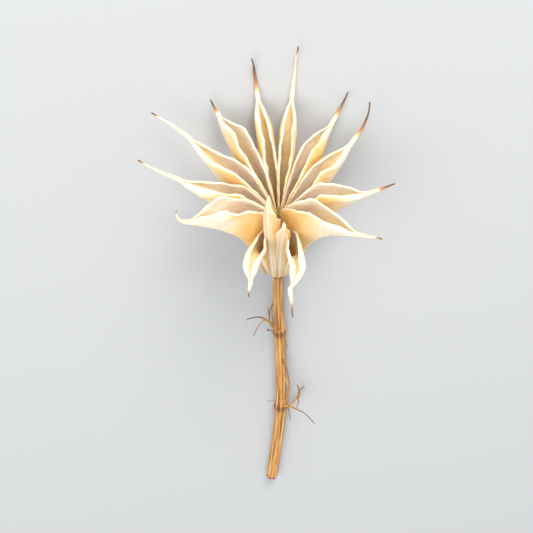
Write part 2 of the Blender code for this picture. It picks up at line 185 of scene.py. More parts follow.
def add_node(
    tree: NodeTree,
    kind: str,
    settings: dict[str | int, object] | None = None,
    links: dict[str | int, NodeSocket] | None = None,
    output: str | int = 0,
) -> NodeSocket:
    """Adds a node with its settings and its links, as set_up takes them.

    Args:
        tree: the node tree that gets the node.
        kind: the node's type without its "ShaderNode", such as "TexNoise".
        settings: its settings.
        links: its links.
        output: the name or number of the output that is wanted.

    Returns:
        That output's socket.
    """
    node = tree.nodes.new(f"ShaderNode{kind}")
    set_up(tree, node, settings or {}, links or {})
    return node.outputs[output]


def blank_material(name: str) -> tuple[Material, NodeTree, ShaderNode]:
    """A new material, with its tree and its Principled shader."""
    material = bpy.data.materials.new(name)
    material.use_nodes = True
    tree = material.node_tree
    return material, tree, tree.nodes["Principled BSDF"]


def fibre_pattern(
    tree: NodeTree,
    unrolled: NodeSocket,
    width_mm: float,
    length_mm: float,
    detail: float,
) -> NodeSocket:
    """Noise that is drawn out along a piece into fibres or streaks.

    Args:
        tree: the material's nodes.
        unrolled: the piece's UV map, in millimetres across it and along it.
        width_mm: how wide a fibre is.
        length_mm: how long it runs.
        detail: how many finer layers the noise has.

    Returns:
        The noise's socket.
    """
    stretch = (1.0 / width_mm, 1.0 / length_mm, 1.0)
    drawn_out = add_node(tree, "Mapping", {"Scale": stretch}, {"Vector": unrolled})
    return add_node(tree, "TexNoise", {"Scale": 1.0, "Detail": detail}, {"Vector": drawn_out})


@dataclass(frozen=True)
class BleachedCapsuleWall:
    """Capsule wall of a dried Nigella, bleached with peroxide: thin plant parchment.

    It gives the eye a matt, creamy skin with a faint satin, glowing gold where light comes through
    it, with fine oblique veins and a brown, burnt-looking beak. Gold and amber shade is painted
    into its colour in grooves, between follicles and in hollows.
    """

    pale: str = "#FFFAF0"
    cream: str = "#FDECCB"
    # gold and amber are the colours of the shade painted into grooves and hollows.
    gold: str = "#F0BE6E"
    amber: str = "#CB8936"
    vein: str = "#E9C588"
    speck: str = "#B98047"
    beak_cream: str = "#F3DDB6"
    beak_tan: str = "#B06F36"
    beak_brown: str = "#462717"
    vein_spacing_mm: float = 1.15
    vein_slant_deg: float = 38.0
    vein_strength: float = 0.26
    # The real fibres are about 0.03 mm wide, too fine to show, so they are drawn 0.12 mm wide.
    fibre_mm: float = 0.12
    fibre_length_mm: float = 1.0
    crinkle_mm: float = 1.3
    # How high the veins and the crinkles stand, as multiples of the fibres' relief.
    vein_height: float = 1.6
    crinkle_height: float = 14.0
    relief_mm: float = 0.05
    mottle_mm: float = 3.5
    mottle_strength: float = 0.34
    speck_mm: float = 0.5
    speck_strength: float = 0.45
    roughness: float = 0.52
    satin: float = 0.38
    scattered: float = 0.72
    scatter_colour: tuple[float, float, float] = (1.0, 0.92, 0.74)
    light_depth_mm: float = 1.1
    through: str = "#FFF6E2"
    light_through: float = 0.37

    def make(self) -> Material:
        """Builds the material's nodes.

        Returns:
            The material. It reads the attributes "gold", which is mostly painted shade, and "beak",
            and the UV map in millimetres.
        """
        material, tree, shader = blank_material("bleached_capsule_parchment")
        gold = add_node(tree, "Attribute", {"attribute_name": "gold"}, output="Fac")
        beak = add_node(tree, "Attribute", {"attribute_name": "beak"}, output="Fac")
        place = add_node(tree, "TexCoord", output="Object")
        unrolled = add_node(tree, "UVMap", {"uv_map": UNROLLED})

        cloudy = {"Scale": 1.0 / (self.mottle_mm * MM), "Detail": 4.0, "Roughness": 0.6}
        mottle = add_node(tree, "TexNoise", cloudy, {"Vector": place})
        strength = self.mottle_strength
        centred = {"operation": "MULTIPLY_ADD", 1: strength, 2: -strength / 2}
        uneven = add_node(tree, "Math", centred, {0: mottle})
        clamped = {"operation": "ADD", "use_clamp": True}
        # Painted shade: the attribute gold, with some random mottle, takes the wall from pale and
        # cream to gold and amber where shade is painted.
        depth = add_node(tree, "Math", clamped, {0: gold, 1: uneven})
        tones = ((0.0, self.pale), (0.30, self.cream), (0.68, self.gold), (1.0, self.amber))
        wall = add_node(tree, "ValToRGB", {"stops": tones}, {0: depth})

        veins = self.vein_mask(tree, unrolled)
        darker = {"data_type": "RGBA", 7: linear(self.vein)}
        veined = add_node(tree, "Mix", darker, {0: veins, 6: wall}, output=2)
        dotted = {"Scale": 1.0 / (self.speck_mm * MM), "Detail": 2.0}
        dots = add_node(tree, "TexNoise", dotted, {"Vector": place})
        peaks = {"From Min": 0.70, "From Max": 0.78, "To Max": self.speck_strength}
        specks = add_node(tree, "MapRange", peaks, {"Value": dots})
        darker = {"data_type": "RGBA", 7: linear(self.speck)}
        specked = add_node(tree, "Mix", darker, {0: specks, 6: veined}, output=2)

        tones = ((0.0, self.beak_cream), (0.5, self.beak_tan), (1.0, self.beak_brown))
        burnt = add_node(tree, "ValToRGB", {"stops": tones}, {0: beak})
        on_beak = add_node(tree, "MapRange", {"From Min": 0.02, "From Max": 0.35}, {"Value": beak})
        layers = {0: on_beak, 6: specked, 7: burnt}
        colour = add_node(tree, "Mix", {"data_type": "RGBA"}, layers, output=2)

        relief = self.relief(tree, unrolled, veins)
        finish = {
            "Roughness": self.roughness,
            "Specular IOR Level": self.satin,
            "Subsurface Weight": self.scattered,
            "Subsurface Radius": self.scatter_colour,
            "Subsurface Scale": self.light_depth_mm * MM,
        }
        set_up(tree, shader, finish, {"Base Color": colour, "Normal": relief})
        tint = {"Color": linear(self.through)}
        glow = add_node(tree, "BsdfTranslucent", tint, {"Normal": relief})
        layers = {1: shader.outputs["BSDF"], 2: glow}
        papery = add_node(tree, "MixShader", {0: self.light_through}, layers)
        tree.links.new(papery, tree.nodes["Material Output"].inputs["Surface"])
        return material

    def vein_mask(
        self, tree: NodeTree, unrolled: NodeSocket
    ) -> NodeSocket:
        """Fine veins that run obliquely from the keel to the rim.

        Args:
            tree: the material's nodes.
            unrolled: the piece's UV map, in millimetres from the keel and along it.

        Returns:
            A socket that is 0 between veins and up to vein_strength on them.
        """
        aside = add_node(tree, "SeparateXYZ", links={0: unrolled})
        away = add_node(tree, "Math", {"operation": "ABSOLUTE"}, {0: aside})
        folded = add_node(tree, "CombineXYZ", links={0: away, 1: aside.node.outputs["Y"]})
        slant = {"Rotation": (0.0, 0.0, math.radians(self.vein_slant_deg))}
        turned = add_node(tree, "Mapping", slant, {"Vector": folded})
        wavy = {
            # At scale 1 the wave texture draws a band every 2 pi / 20 units.
            "Scale": 2.0 * math.pi / (20.0 * self.vein_spacing_mm),
            "Distortion": 1.8,
            "Detail": 2.0,
            "Detail Scale": 0.35,
        }
        bands = add_node(tree, "TexWave", wavy, {"Vector": turned}, output="Fac")
        crests = {"From Min": 0.78, "From Max": 1.0, "To Max": self.vein_strength}
        return add_node(tree, "MapRange", crests, {"Value": bands})

    def relief(
        self, tree: NodeTree, unrolled: NodeSocket, veins: NodeSocket
    ) -> NodeSocket:
        """Fine long fibres in a crinkled wall, with the veins standing a little proud.

        Args:
            tree: the material's nodes.
            unrolled: the piece's UV map in millimetres.
            veins: the vein mask.

        Returns:
            A normal socket.
        """
        fibre = fibre_pattern(tree, unrolled, self.fibre_mm, self.fibre_length_mm, 3.0)
        raised = {"operation": "MULTIPLY_ADD", 1: self.vein_height}
        ribbed = add_node(tree, "Math", raised, {0: veins, 2: fibre})
        size = 1.0 / self.crinkle_mm
        creased = {"Scale": size, "Detail": 4.0, "Roughness": 0.62, "Distortion": 0.6}
        crinkle = add_node(tree, "TexNoise", creased, {"Vector": unrolled})
        raised = {"operation": "MULTIPLY_ADD", 1: self.crinkle_height}
        height = add_node(tree, "Math", raised, {0: crinkle, 2: ribbed})
        bump = {"Strength": 0.6, "Distance": self.relief_mm * MM}
        return add_node(tree, "Bump", bump, {"Height": height})


@dataclass(frozen=True)
class DryStraw:
    """Dry herb stalk: a hard, straw-coloured rind over ribs of fibre.

    It gives the eye long pale streaks on the ribs, brown furrows between them and a low sheen.
    """

    pale: str = "#EBD2A4"
    straw: str = "#CB9C58"
    furrow: str = "#8A5A2A"
    brown: str = "#573622"
    streak_mm: float = 0.22
    streak_length_mm: float = 6.0
    fibre_mm: float = 0.09
    fibre_length_mm: float = 9.0
    fibre_strength: float = 0.42
    relief_mm: float = 0.06
    roughness: float = 0.50

    def make(self) -> Material:
        """Builds the material's nodes.

        Returns:
            The material. It reads the attributes "furrow" and "withered" and the UV map.
        """
        material, tree, shader = blank_material("dry_straw_rind")
        furrow = add_node(tree, "Attribute", {"attribute_name": "furrow"}, output="Fac")
        withered = add_node(tree, "Attribute", {"attribute_name": "withered"}, output="Fac")
        unrolled = add_node(tree, "UVMap", {"uv_map": UNROLLED})
        streak = fibre_pattern(tree, unrolled, self.streak_mm, self.streak_length_mm, 4.0)
        centred = {"operation": "MULTIPLY_ADD", 1: 1.15, 2: -0.46}
        tone = add_node(tree, "Math", centred, {0: streak})
        strand = fibre_pattern(tree, unrolled, self.fibre_mm, self.fibre_length_mm, 2.0)
        peaks = {"From Min": 0.52, "From Max": 0.70, "To Max": self.fibre_strength}
        fibres = add_node(tree, "MapRange", peaks, {"Value": strand})
        streaked = add_node(tree, "Math", {"operation": "ADD"}, {0: fibres, 1: tone})
        clamped = {"operation": "ADD", "use_clamp": True}
        depth = add_node(tree, "Math", clamped, {0: furrow, 1: streaked})
        tones = ((0.0, self.pale), (0.38, self.straw), (0.85, self.furrow), (1.0, self.brown))
        rind = add_node(tree, "ValToRGB", {"stops": tones}, {0: depth})
        dead = {"data_type": "RGBA", 7: linear(self.brown)}
        colour = add_node(tree, "Mix", dead, {0: withered, 6: rind}, output=2)
        bump = {"Strength": 0.7, "Distance": self.relief_mm * MM, "invert": True}
        relief = add_node(tree, "Bump", bump, {"Height": streaked})
        finish = {
            "Roughness": self.roughness,
            "Specular IOR Level": 0.4,
            "Subsurface Weight": 0.15,
            "Subsurface Radius": (1.0, 0.5, 0.2),
            "Subsurface Scale": 0.4 * MM,
        }
        set_up(tree, shader, finish, {"Base Color": colour, "Normal": relief})
        return material


@dataclass(frozen=True)
class CutPith:
    """Snipped stalk end: spongy pale pith inside a ring of darker fibre bundles.

    It gives the eye a matt cream disc, pitted like foam, with a brown edge.
    """

    pith: str = "#F6E8C8"
    hollow: str = "#C79A5C"
    cell_mm: float = 0.09
    relief_mm: float = 0.06
    roughness: float = 0.85

    def make(self) -> Material:
        """Builds the material's nodes.

        Returns:
            The material. It reads the attribute "furrow", which is 1 at the ring of fibres.
        """
        material, tree, shader = blank_material("cut_stalk_pith")
        ring = add_node(tree, "Attribute", {"attribute_name": "furrow"}, output="Fac")
        place = add_node(tree, "TexCoord", output="Object")
        pitted = {"Scale": 1.0 / (self.cell_mm * MM)}
        cells = add_node(tree, "TexVoronoi", pitted, {"Vector": place})
        faint = {"operation": "MULTIPLY_ADD", 1: 0.35, "use_clamp": True}
        dark = add_node(tree, "Math", faint, {0: cells, 2: ring})
        tones = ((0.0, self.pith), (0.45, self.pith), (1.0, self.hollow))
        colour = add_node(tree, "ValToRGB", {"stops": tones}, {0: dark})
        bump = {"Strength": 0.8, "Distance": self.relief_mm * MM}
        relief = add_node(tree, "Bump", bump, {"Height": cells})
        finish = {"Roughness": self.roughness}
        set_up(tree, shader, finish, {"Base Color": colour, "Normal": relief})
        return material


@dataclass(frozen=True)
class MattPaintedBoard:
    """Studio floor: a board with matt grey paint, which gives the eye no texture of its own."""

    colour: str = "#A5A8AB"
    roughness: float = 0.9

    def make(self) -> Material:
        """Builds the material's nodes."""
        material, tree, shader = blank_material("matt_painted_board")
        set_up(tree, shader, {"Base Color": linear(self.colour), "Roughness": self.roughness}, {})
        return material


@dataclass(frozen=True)
class SurfacePoint:
    """A point of a mapped sheet: its place, its UV in millimetres, and its values for materials."""

    place: Vector
    unrolled: tuple[float, float]
    values: tuple[float, ...] = ()


class MappedSheet:
    """A grid that a rule bends into a closed skin, such as a tube whose ends draw to a point."""

    def __init__(self, value_names: Sequence[str]) -> None:
        """Starts an empty mesh whose points carry these named values."""
        self.mesh = bmesh.new()
        self.layers = [self.mesh.verts.layers.float.new(name) for name in value_names]
        self.uv = self.mesh.loops.layers.uv.new(UNROLLED)

    def add(self, across: int, along: int, rule: Callable[[int, int], SurfacePoint]) -> None:
        """Adds one grid, bent by a rule.

        Args:
            across: the number of strips round the skin.
            along: the number of strips along it.
            rule: gives the surface point for a grid line across and a grid line along.
        """
        made = bmesh.ops.create_grid(self.mesh, x_segments=across, y_segments=along, size=1.0)
        spots = {}
        for vert in made["verts"]:
            i = round((vert.co.x + 1.0) / 2.0 * across)
            k = round((vert.co.y + 1.0) / 2.0 * along)
            spots[vert] = rule(i, k)
        faces = {face for vert in made["verts"] for face in vert.link_faces}
        for face in faces:
            face.smooth = True
            for loop in face.loops:
                loop[self.uv].uv = spots[loop.vert].unrolled
        for vert, spot in spots.items():
            vert.co = spot.place
            for layer, value in zip(self.layers, spot.values):
                vert[layer] = value

    def finish(self, name: str, material: Material) -> Object:
        """Closes the skin's seams and makes it an object at the origin.

        Args:
            name: the piece's name.
            material: its material.

        Returns:
            The new object, linked to the scene.
        """
        bmesh.ops.remove_doubles(self.mesh, verts=self.mesh.verts, dist=WELD)
        bmesh.ops.dissolve_degenerate(self.mesh, edges=self.mesh.edges, dist=WELD)
        bmesh.ops.recalc_face_normals(self.mesh, faces=self.mesh.faces)
        data = bpy.data.meshes.new(name)
        self.mesh.to_mesh(data)
        self.mesh.free()
        data.materials.append(material)
        return add_object(name, data)


def register(piece: Object, node: Node, slot: Slot) -> None:
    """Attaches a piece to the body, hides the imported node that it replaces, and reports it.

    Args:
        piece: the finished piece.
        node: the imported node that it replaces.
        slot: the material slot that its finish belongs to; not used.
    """
    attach(piece, BODY)
    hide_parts(node.value)
    log.info("%s: %d faces, stands for %s", piece.name, len(piece.data.polygons), node.value)


@dataclass(frozen=True)
class Follicle:
    """One follicle: angles in degrees, lengths in millimetres.

    azimuth goes round the pod's axis, with 90 towards the floor. body and lean are the keel's
    angles from the axis, along the body and at the tip. depth is that of the free walls, and
    corner the share of the length where they turn in to the beak. gape is how far the free tip
    opens, 1 where it meets its neighbours. swing bends the tip sideways. The beak bends towards
    the axis by curl and sideways by sway. bulge is how far the upper body swells past its
    neighbours' sides. burnt is how much of the beak has gone brown.
    """

    azimuth: float
    lean: float
    length: float
    gape: float
    beak: float
    curl: float
    sway: float = 0.0
    swing: float = 0.0
    corner: float = 0.80
    depth: float = 5.8
    body: float = 14.0
    bulge: float = 0.0
    burnt: float = 0.6


FOLLICLES = (
    Follicle(335, 60, 28.5, 0.90, 4.5, -15, 10, -6, corner=0.84, depth=8.2, burnt=0.35),
    Follicle(3, 58, 29.0, 0.95, 5.5, 30, -14, -3, corner=0.84, depth=6.8, burnt=0.8),
    Follicle(30, 56, 30.5, 0.86, 8.0, 52, 16, 7, corner=0.83, burnt=1.0),
    Follicle(55, 56, 31.0, 0.90, 6.0, 38, -8, corner=0.88, depth=6.2, burnt=0.9),
    Follicle(80, 44, 34.0, 0.92, 11.0, 62, -6, 2, corner=0.87, depth=6.2, burnt=0.3),
    Follicle(104, 46, 34.0, 0.80, 9.0, 70, 9, -1, corner=0.84, depth=6.0, burnt=1.0),
    Follicle(131, 58, 32.8, 0.90, 3.5, 66, 14, -4, corner=0.91, depth=6.6, burnt=1.0),
    Follicle(157, 62, 33.0, 0.95, 7.5, -12, 6, -8, corner=0.78, depth=6.6, burnt=0.25),
    Follicle(183, 60, 32.0, 0.85, 7.5, 6, -8, -7, corner=0.76, depth=6.4, burnt=0.2),
    Follicle(208, 62, 31.0, 0.95, 3.5, 82, -30, -5, corner=0.90, depth=6.6, burnt=0.1),
    Follicle(231, 80, 24.0, 0.62, 2.6, -30, 24, 20, corner=0.66, depth=5.2, burnt=0.5),
    Follicle(
        252, -5, 29.0, 0.70, 2.5, -14, 10, -6,
        corner=0.62, depth=4.6, body=8.0, bulge=0.45, burnt=0.2,
    ),
    Follicle(
        275, 9, 24.0, 0.65, 2.2, 12, -12, 3,
        corner=0.60, depth=4.4, body=9.0, bulge=0.75, burnt=0.2,
    ),
    Follicle(303, 84, 24.0, 0.50, 5.0, -24, -6, -26, corner=0.70, depth=5.0, burnt=0.6),
)


@dataclass(frozen=True)
class KeelPoint:
    """Where a follicle's keel runs: its radius, height and angle from the axis at a share."""

    radius: float
    height: float
    angle: float


@dataclass
class Section:
    """A section across a follicle at a share of its length, and what its outline needs."""

    share: float
    keel: KeelPoint
    tilt: float
    depth: float
    floor: float
    half_keel: float
    free: float
    roundness: float


@dataclass
class Capsule:
    """The pod: its follicles and the receptacle that they stand on.

    A follicle is a run of sections along its keel, which leans outward from spread_start on. Nearer
    the axis than fused_radius its walls overlap its neighbours', as they grew joined. Beyond
    free_radius they stop free_gap short of them. The rims gape from gape_start out.
    """

    follicles: tuple[Follicle, ...] = FOLLICLES
    axis_rise_deg: float = 21.0
    base: tuple[float, float, float] = (2.04 * MM, 6.05 * MM, 4.22 * MM)
    keel_start: float = 1.0 * MM
    shoulder_deg: float = 78.0
    shoulder_end: float = 0.14
    spread_start: float = 0.34
    spread_end: float = 1.15
    spread_reach: float = 1.12
    short_of_axis: float = 0.25 * MM
    tip_depth: float = 0.50 * MM
    tip_half_width: float = 0.38 * MM
    keel_half_width: float = 0.80 * MM
    body_half_width: float = 1.40 * MM
    fused_overlap: float = 0.06 * MM
    free_gap: float = 0.28 * MM
    fused_radius: float = 4.6 * MM
    free_radius: float = 8.0 * MM
    gape_limit: float = 3.2 * MM
    upright_lean: float = 20.0
    beside_upright_deg: float = 60.0
    gape_start: float = 2.5 * MM
    gape_full: float = 8.0 * MM
    least_gape: float = 0.16 * MM
    least_outer: float = 0.08 * MM
    least_inner: float = 0.03 * MM
    narrowing: float = 0.22
    edge_power: float = 1.7
    axis_blend: float = 1.2 * MM
    wall_thickness: float = 0.26 * MM
    rim_thickness: float = 0.36 * MM
    floor_depth: float = 0.55 * MM
    floor_sag: float = 0.15 * MM
    keel_rib: float = 0.17 * MM
    side_rib: float = 0.10 * MM
    rib_start: float = 0.1
    vein_height: float = 0.022
    vein_spacing: float = 2.3
    beak_root: float = 0.37 * MM
    beak_end: float = 0.13 * MM
    beak_gold: float = 0.28
    body_rings: int = 120
    beak_rings: int = 34
    keel_steps: int = 300
    wall_steps: int = 20
    keel_profile: list[list[KeelPoint]] = field(default_factory=list)
    stations: list[Station] = field(default_factory=list)

    def __post_init__(self) -> None:
        """Runs each keel once, and lists the stations round a section."""
        self.keel_profile = [self.run_keel(f) for f in self.follicles]
        self.stations = list(self.list_stations())

    @property
    def placing(self) -> Matrix:
        """Places the upright pod where it lies, tipped onto its side."""
        tipped = Matrix.Rotation(math.radians(self.axis_rise_deg - 90.0), 4, "X")
        return Matrix.Translation(self.base) @ tipped

    def run_keel(self, follicle: Follicle) -> list[KeelPoint]:
        """Follows a keel from the receptacle to its tip in short steps.

        Args:
            follicle: the follicle whose keel it is.

        Returns:
            The keel at each step, with its angle left free of the shoulder's turn.
        """
        radius, height = self.keel_start, 0.0
        found = []
        step = 1.0 / self.keel_steps
        for i in range(self.keel_steps + 1):
            s = i * step
            spread = smooth_step(self.spread_start, self.spread_end, s) * self.spread_reach
            angle = follicle.body + (follicle.lean - follicle.body) * spread
            turn = (self.shoulder_deg - follicle.body) * max(0.0, 1.0 - s / self.shoulder_end) ** 2
            found.append(KeelPoint(radius, height, math.radians(angle)))
            radius += math.sin(math.radians(angle + turn)) * step * follicle.length * MM
            height += math.cos(math.radians(angle + turn)) * step * follicle.length * MM
        return found

    def keel_at(self, n: int, s: float) -> KeelPoint:
        """The keel of follicle n at a share of its length."""
        return self.keel_profile[n][round(min(1.0, max(0.0, s)) * self.keel_steps)]

    def list_stations(self) -> Iterator[Station]:
        """Lists the points round a section, from the middle of the floor round to it again.

        Yields:
            The zone, the side (-1 or 1) and how far across its zone the point is, from 0 to 1.
        """
        spans = (
            (Zone.FLOOR, 3, True),
            (Zone.INNER_WALL, self.wall_steps, True),
            (Zone.RIM, 4, False),
            (Zone.OUTER_WALL, self.wall_steps, False),
            (Zone.KEEL, 6, False),
        )
        for zone, steps, rising in spans:
            for i in range(steps):
                yield zone, -1, i / steps if rising else 1.0 - i / steps
        for zone, steps, rising in reversed(spans):
            for i in range(steps):
                yield zone, 1, 1.0 - i / steps if rising else i / steps
        yield Zone.FLOOR, 1, 0.0

    @staticmethod
    def fullness(s: float) -> float:
        """1 along a follicle's body, and less towards its root and its tip."""
        return smooth_step(0.0, 0.16, s) * (1.0 - smooth_step(0.86, 1.0, s))

    def azimuth(self, n: int, s: float) -> float:
        """The direction of follicle n round the axis, which swings sideways near the tip."""
        return self.follicles[n].azimuth + self.follicles[n].swing * s**3

    def room_beside(self, n: int, side: int, radius: float, s: float) -> float:
        """Half the width that a follicle may fill on one side, at a radius from the axis.

        Args:
            n: the follicle's number.
            side: -1 or 1, the neighbour's side.
            radius: the distance from the pod's axis.
            s: the share of the follicle's length.

        Returns:
            The distance from the follicle's middle plane, just past the neighbour's side low down
            and short of it further out.
        """
        here, there = self.follicles[n], (n + side) % len(self.follicles)
        between = (self.azimuth(there, s) - self.azimuth(n, s)) * side % 360.0
        free = smooth_step(self.fused_radius, self.free_radius, radius)
        if self.follicles[there].lean < self.upright_lean <= here.lean:
            between = mix(between, self.beside_upright_deg, free)
        room = max(0.0, radius) * math.tan(math.radians(between / 2))
        room += mix(self.fused_overlap, -self.free_gap, free)
        return room + here.bulge * MM * smooth_step(0.30, 0.60, s)

    def section(self, n: int, s: float) -> Section:
        """Works out a section of a follicle.

        Args:
            n: the follicle's number.
            s: the share of the follicle's length.

        Returns:
            The section, with its depth cut off where it would meet the pod's axis.
        """
        follicle = self.follicles[n]
        keel = self.keel_at(n, s)
        tilt = keel.angle * mix(0.85, 1.0, smooth_step(0.85, 1.0, s))
        to_axis = max(0.3 * MM, (max(0.0, keel.radius) - self.short_of_axis) / math.cos(tilt))
        past = max(0.0, (s - follicle.corner) / (1.0 - follicle.corner))
        body = follicle.depth * MM * (1.0 - self.narrowing * smooth_step(0.45, 1.0, s))
        free_edge = self.tip_depth + (body - self.tip_depth) * (1.0 - past) ** self.edge_power
        free = smooth_step(0.52, 0.78, s)
        wavy = 0.07 * free * wander(n + 20, s * 9.0)
        free_edge *= 1.0 + wavy + 0.035 * free * wander(n + 40, s * 34.0)
        depth = smooth_min(to_axis, free_edge, self.axis_blend)
        floor = mix(min(self.floor_depth, depth * 0.6), depth * 0.96, smooth_step(0.955, 0.995, s))
        return Section(
            share=s,
            keel=keel,
            tilt=tilt,
            depth=depth,
            floor=floor,
            half_keel=mix(self.tip_half_width, self.keel_half_width, self.fullness(s)),
            free=free,
            roundness=smooth_step(0.95, 1.0, s),
        )

    def outer_half_width(self, n: int, side: int, level: float, cut: Section) -> float:
        """How far a wall's outer face is from the follicle's middle plane.

        Args:
            n: the follicle's number.
            side: -1 or 1.
            level: how far in from the keel, with 1 at the rim.
            cut: the section.

        Returns:
            The distance in metres, kept within the room beside the neighbour.
        """
        follicle, s = self.follicles[n], cut.share
        radius = cut.keel.radius - cut.depth * level * math.cos(cut.tilt)
        rim_radius = cut.keel.radius - cut.depth * math.cos(cut.tilt)
        room = self.room_beside(n, side, rim_radius, s)
        open_share = smooth_step(self.gape_start, self.gape_full, rim_radius)
        opened = room * mix(1.0, follicle.gape, open_share)
        opened = max(self.least_gape, min(opened, self.gape_limit * follicle.gape))
        rim = mix(opened, self.tip_half_width, smooth_step(follicle.corner - 0.06, 0.98, s))
        swollen = mix(self.tip_half_width, self.body_half_width, self.fullness(s))
        middle = max(swollen, (cut.half_keel + rim) / 2)
        pull = 2.0 * middle - (cut.half_keel + rim) / 2
        free = (1 - level) ** 2 * cut.half_keel + 2 * level * (1 - level) * pull + level**2 * rim
        free += self.crumple(n, side, level, cut)
        return max(self.least_outer, min(free, self.room_beside(n, side, radius, s)))

    def crumple(self, n: int, side: int, level: float, cut: Section) -> float:
        """How far the dry wall has warped outward, with its veins standing proud.

        Args:
            n: the follicle's number.
            side: -1 or 1.
            level: how far in from the keel, with 1 at the rim.
            cut: the section.

        Returns:
            The warp in metres: three sizes of waves, and oblique veins.
        """
        s, across = cut.share, level * cut.depth / MM
        along = s * self.follicles[n].length
        warp = 0.26 * wander(n * 2 + side, along * 0.16, across * 0.22)
        warp += 0.16 * wander(n * 2 + side + 60, along * 0.55, across * 0.5) * (0.4 + 0.6 * level)
        warp += 0.06 * wander(n * 2 + side + 200, along * 1.6, across * 0.9) * level
        line = (along + 0.85 * across) / self.vein_spacing
        line += 0.9 * wander(n + side * 3 + 90, along * 0.22, across * 0.4)
        vein = bump_at(line % 1.0, 0.5, 0.16) * (0.6 + 0.4 * wander(n + 120, along * 0.5, across))
        return (warp * cut.free + self.vein_height * vein * level) * (1.0 - cut.roundness) * MM

    def outline(self, n: int, station: Station, cut: Section) -> tuple[float, float, float]:
        """One point of a section's outline.

        Args:
            n: the follicle's number.
            station: the zone, side and place in the zone.
            cut: the section.

        Returns:
            The depth in from the keel, the distance across on the station's side, and the length
            round the outline from the keel, all in metres.
        """
        zone, side, t = station
        if zone is Zone.KEEL:
            ribs = self.keel_rib * bump_at(t, 0.0, 0.26) + self.side_rib * bump_at(t, 1.0, 0.22)
            ribs *= smooth_step(0.0, self.rib_start, cut.share)
            return -ribs, cut.half_keel * t, cut.half_keel * t
        if zone is Zone.OUTER_WALL:
            rib = self.side_rib * bump_at(t, 0.0, 0.035)
            rib *= smooth_step(0.0, self.rib_start, cut.share)
            across = self.outer_half_width(n, side, t, cut)
            return cut.depth * t - rib, across, cut.half_keel + cut.depth * t
        outer = self.outer_half_width(n, side, 1.0, cut)
        crisp = 1.0 + 0.45 * wander(n * 2 + side + 260, cut.share * self.follicles[n].length * 0.8)
        rim = min(mix(self.wall_thickness, self.rim_thickness, cut.free) * crisp, outer * 0.9)
        if zone is Zone.RIM:
            crown = math.sin(math.pi * t) * rim * 0.42
            return cut.depth + crown, outer - rim * t, cut.half_keel + cut.depth + rim * t
        if zone is Zone.INNER_WALL:
            level = mix(cut.floor / cut.depth, 1.0, t)
            thick = mix(self.wall_thickness, rim, smooth_step(0.82, 1.0, t))
            inner = max(self.least_inner, self.outer_half_width(n, side, level, cut) - thick)
            return cut.depth * level, inner, cut.half_keel + rim + cut.depth * (2.0 - level)
        low = cut.floor / cut.depth
        inner = self.outer_half_width(n, side, low, cut) - self.wall_thickness
        inner = max(self.least_inner, inner)
        sag = self.floor_sag * (1.0 - t * t)
        length_round = cut.half_keel + rim + cut.depth * (2.0 - low) + inner * (1.0 - t)
        return cut.floor - sag, inner * t, length_round

    def beak_turn(self, station: Station) -> float:
        """Where a station lies round the beak, on which the section has become round.

        Args:
            station: the zone, side and place in the zone.

        Returns:
            Its angle in radians, 0 at the keel.
        """
        zone, side, t = station
        spans = {
            Zone.KEEL: (0.0, 48.0),
            Zone.OUTER_WALL: (48.0, 142.0),
            Zone.RIM: (142.0, 156.0),
            Zone.INNER_WALL: (172.0, 156.0),
            Zone.FLOOR: (180.0, 172.0),
        }
        start, end = spans[zone]
        return math.radians(side * mix(start, end, t))

    def placed(self, n: int, s: float, out: float, across: float, up: float) -> Vector:
        """A point, or a direction, given in a follicle's own directions.

        Args:
            n: the follicle's number.
            s: the share of its length, which sets how far it has swung sideways.
            out: how far from the pod's axis.
            across: how far from the follicle's middle plane.
            up: how far up the pod's axis.

        Returns:
            The same in the upright pod's directions.
        """
        azimuth = math.radians(self.azimuth(n, s))
        x = out * math.cos(azimuth) - across * math.sin(azimuth)
        return Vector((x, out * math.sin(azimuth) + across * math.cos(azimuth), up))

    def body_point(self, n: int, station: Station, cut: Section) -> SurfacePoint:
        """The surface point at a station of a section of a follicle's body.

        Args:
            n: the follicle's number.
            station: the zone, side and place in the zone.
            cut: the section.

        Returns:
            The point, on the upright pod.
        """
        zone, side, t = station
        depth, across, length_round = self.outline(n, station, cut)
        turn = self.beak_turn(station)
        depth = mix(depth, self.tip_depth / 2 - self.beak_root * math.cos(turn), cut.roundness)
        across = mix(across * side, self.beak_root * math.sin(turn), cut.roundness)
        out = cut.keel.radius - depth * math.cos(cut.tilt)
        up = cut.keel.height + depth * math.sin(cut.tilt)
        # gold is mostly painted shade from gold(); it gives way to the beak's own tone at the tip.
        gold = mix(self.gold(n, station, cut, out, abs(across)), self.beak_gold, cut.roundness)
        unrolled = (side * length_round / MM, cut.share * self.follicles[n].length)
        return SurfacePoint(self.placed(n, cut.share, out, across, up), unrolled, (gold, 0.0))

